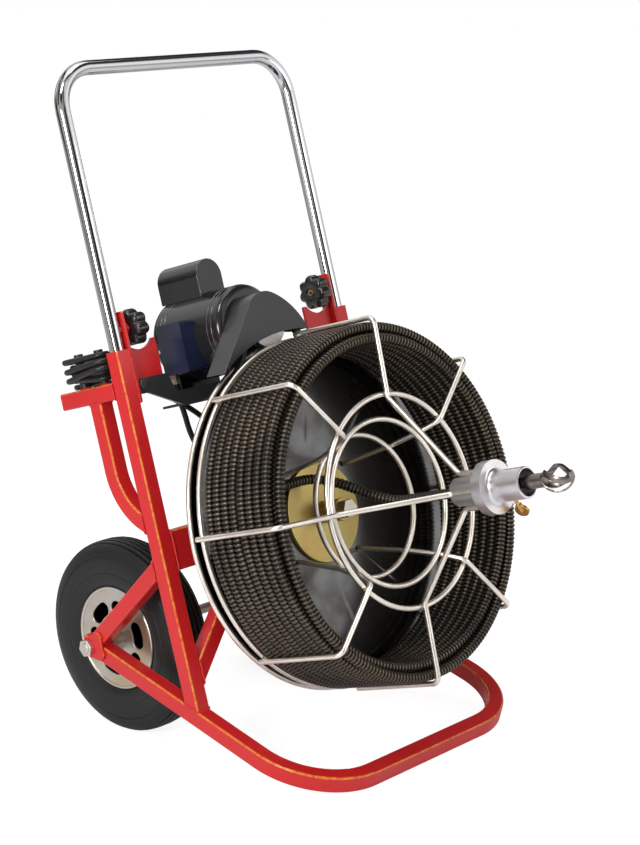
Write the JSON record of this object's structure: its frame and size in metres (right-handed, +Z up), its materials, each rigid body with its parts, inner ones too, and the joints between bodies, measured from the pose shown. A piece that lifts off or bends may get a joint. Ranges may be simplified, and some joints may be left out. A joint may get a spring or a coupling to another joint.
{
  "type": "electric sewer snake",
  "caption": "Electric drum drain cleaner: a belt-driven wire cage of coiled cable with nozzle and bulb cutter on a wheeled tube frame with sliding handle",
  "frame": {"origin": "on the floor under the middle of the machine's box", "axes": "+Z up, the nozzle points to -Y, the power cord's posts are on the -X side"},
  "size_m": [0.551, 0.8698, 1.0331],
  "materials": {
    "red_paint": "gloss red paint",
    "steel": "bright steel",
    "zinc_steel": "zinc plated",
    "black_paint": "satin black paint",
    "motor_black": "gloss black paint",
    "core_steel": "laminated steel",
    "bearing_steel": "ground steel",
    "capacitor_case": "matte",
    "switch_case": "gloss dark blue",
    "switch_lever": "bright",
    "black_plastic": "satin black",
    "belt_rubber": "matte",
    "post_paint": "gloss red paint",
    "cord_rubber": "matte black jacket",
    "tyre_rubber": "matte",
    "rim_silver": "silver paint",
    "chrome": "mirror bright",
    "hub_zinc": "yellow zinc",
    "plate_grey": "grey",
    "nickel_wire": "nickel plated",
    "nose_aluminium": "turned",
    "cable_black": "oiled black spring steel",
    "cutter_steel": "dark spring steel",
    "brass": "bright"
  },
  "bodies": {
    "frame": {"left_upright": "red_paint", "right_upright": "red_paint", "base_loop": "red_paint", "rear_braces": "red_paint", "axle_plates": "red_paint", "cross_member": "red_paint", "lower_braces": "red_paint", "rear_bars": "red_paint", "rest_tubes": "red_paint", "clamp_tabs": "red_paint", "motor_gussets": "red_paint", "axle": "steel", "bearing_housing": "steel", "axle_fasteners": "zinc_steel", "motor_base": "black_paint", "mounting_bolts": "black_paint", "belt_guard": "black_paint", "motor_shell": "motor_black", "motor_front_bell": "motor_black", "motor_rear_bell": "motor_black", "capacitor_cover": "motor_black", "stator_core": "core_steel", "motor_bearings": "bearing_steel", "drum_bearings": "bearing_steel", "capacitor": "capacitor_case", "switch_box": "switch_case", "cord_gland": "black_plastic", "plug": "black_plastic", "drive_belt": "belt_rubber", "cord_posts": "post_paint", "cord_lead": "cord_rubber", "cord_hank": "cord_rubber", "cord_tail": "cord_rubber"},
    "left_wheel": {"left_tyre": "tyre_rubber", "left_rim": "rim_silver", "left_wheel_bushing": "bearing_steel"},
    "right_wheel": {"right_tyre": "tyre_rubber", "right_rim": "rim_silver", "right_wheel_bushing": "bearing_steel"},
    "push_handle": {"handle": "chrome"},
    "left_knob": {"left_clamp_knob": "black_plastic", "left_clamp_screw": "steel"},
    "right_knob": {"right_clamp_knob": "black_plastic", "right_clamp_screw": "steel"},
    "motor_rotor": {"motor_shaft": "steel", "rotor_core": "core_steel", "motor_pulley": "black_paint"},
    "drum": {"drum_shaft": "steel", "drum_hub": "hub_zinc", "back_plate": "plate_grey", "rear_rings": "nickel_wire", "long_wires": "nickel_wire", "short_wires": "nickel_wire", "basket_rings": "nickel_wire", "nose_sleeve": "nose_aluminium", "cable_coil": "cable_black"},
    "feeding_cable": {"cable_end": "cable_black", "cutter": "cutter_steel"},
    "nose_screw": {"thumb_screw": "brass"},
    "motor_switch": {"switch_toggle": "switch_lever"}
  },
  "joints": [
    {"name": "left_wheel_roll", "type": "hinge", "parent": "frame", "child": "left_wheel", "pos_m": [-0.172, 0.28281, 0.1521], "axis": [1, 0, 0], "continuous": true},
    {"name": "right_wheel_roll", "type": "hinge", "parent": "frame", "child": "right_wheel", "pos_m": [0.172, 0.28281, 0.1521], "axis": [1, 0, 0], "continuous": true},
    {"name": "handle_slide", "type": "slide", "parent": "frame", "child": "push_handle", "axis": [0, 0.2538, 0.9673], "range_m": [-0.22, 0]},
    {"name": "left_knob_turn", "type": "hinge", "parent": "frame", "child": "left_knob", "pos_m": [-0.202, 0.21097, 0.64581], "axis": [1, 0, 0], "range_deg": [0, 1080]},
    {"name": "right_knob_turn", "type": "hinge", "parent": "frame", "child": "right_knob", "pos_m": [0.202, 0.21097, 0.64581], "axis": [-1, 0, 0], "range_deg": [0, 1080]},
    {"name": "drum_spin", "type": "hinge", "parent": "frame", "child": "drum", "pos_m": [0, 0.11408, 0.32655], "axis": [0, -0.9673, 0.2538], "continuous": true},
    {"name": "motor_spin", "type": "hinge", "parent": "frame", "child": "motor_rotor", "pos_m": [-0.036, 0.19006, 0.61615], "axis": [0, -0.9673, 0.2538], "continuous": true},
    {"name": "cable_feed", "type": "slide", "parent": "drum", "child": "feeding_cable", "axis": [0, -0.9673, 0.2538], "range_m": [0, 0.1]},
    {"name": "nose_screw_turn", "type": "hinge", "parent": "drum", "child": "nose_screw", "pos_m": [0, -0.31925, 0.44023], "axis": [0.5299, -0.2152, -0.8203], "range_deg": [0, 1080]},
    {"name": "switch_throw", "type": "hinge", "parent": "frame", "child": "motor_switch", "pos_m": [-0.113, 0.2313, 0.59603], "axis": [1, 0, 0], "range_deg": [-25, 25]}
  ],
  "couplings": [
    {"joint": "motor_spin", "follows": "drum_spin", "ratio": 6.5312}
  ]
}
